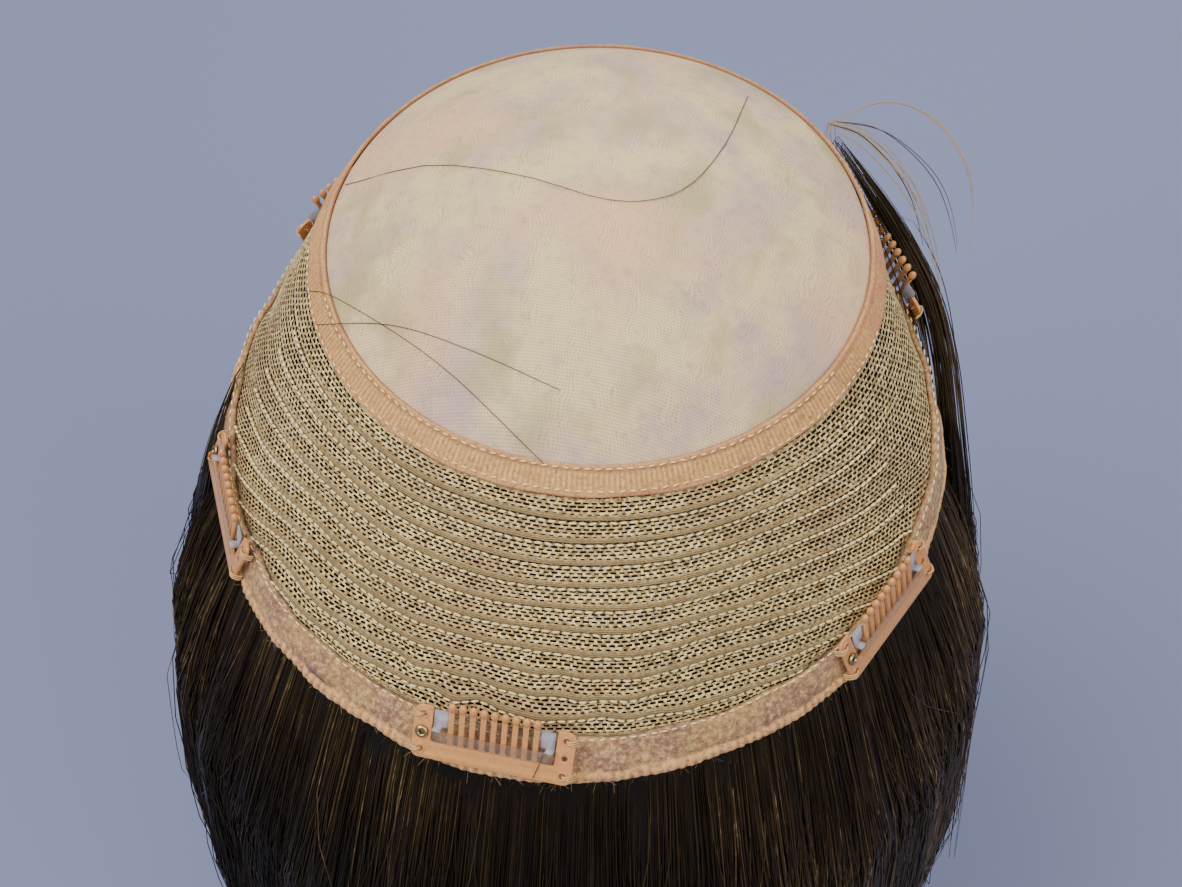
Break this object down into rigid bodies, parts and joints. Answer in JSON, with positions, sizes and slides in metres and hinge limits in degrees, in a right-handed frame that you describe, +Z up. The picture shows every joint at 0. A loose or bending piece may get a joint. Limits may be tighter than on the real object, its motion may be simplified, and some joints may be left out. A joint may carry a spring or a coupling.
{
  "type": "toupee hairpiece",
  "caption": "Toupee hairpiece turned inside out: silk crown, tucked net skirt between woven tapes, snap combs along the hem and long straight hair falling from under it.",
  "frame": {"origin": "under the hair roots at the crown of the silk top, where a head or a block carries the hairpiece", "axes": "+Z up, -Y to the centre back of the cap and its back comb, +Y to the front hairline, +X to the right of a viewer who faces the back comb"},
  "size_m": [0.1988, 0.2045, 0.321],
  "materials": {
    "silk": "pale cream monofilament silk with a fine knit",
    "tape": "matt peach-tan ribbed woven tape",
    "net": "matt khaki-beige open net",
    "comb": "satin beige lacquer on sprung steel",
    "grip": "translucent grey silicone",
    "eyelet": "aged brass",
    "hair": "glossy very dark brown hair"
  },
  "bodies": {
    "root": {"silk_top": "silk", "ring_tape": "tape", "net_skirt": "net", "hem_tape": "tape", "hair_crown": "hair", "hair_back": "hair", "hair_right": "hair", "hair_front": "hair", "hair_left": "hair", "comb_back": "comb", "comb_grip_back": "grip", "comb_eyelet_back": "eyelet", "comb_side_right": "comb", "comb_grip_side_right": "grip", "comb_eyelet_side_right": "eyelet", "comb_side_left": "comb", "comb_grip_side_left": "grip", "comb_eyelet_side_left": "eyelet", "comb_temple_right": "comb", "comb_grip_temple_right": "grip", "comb_eyelet_temple_right": "eyelet", "comb_temple_left": "comb", "comb_grip_temple_left": "grip", "comb_eyelet_temple_left": "eyelet"}
  },
  "joints": []
}
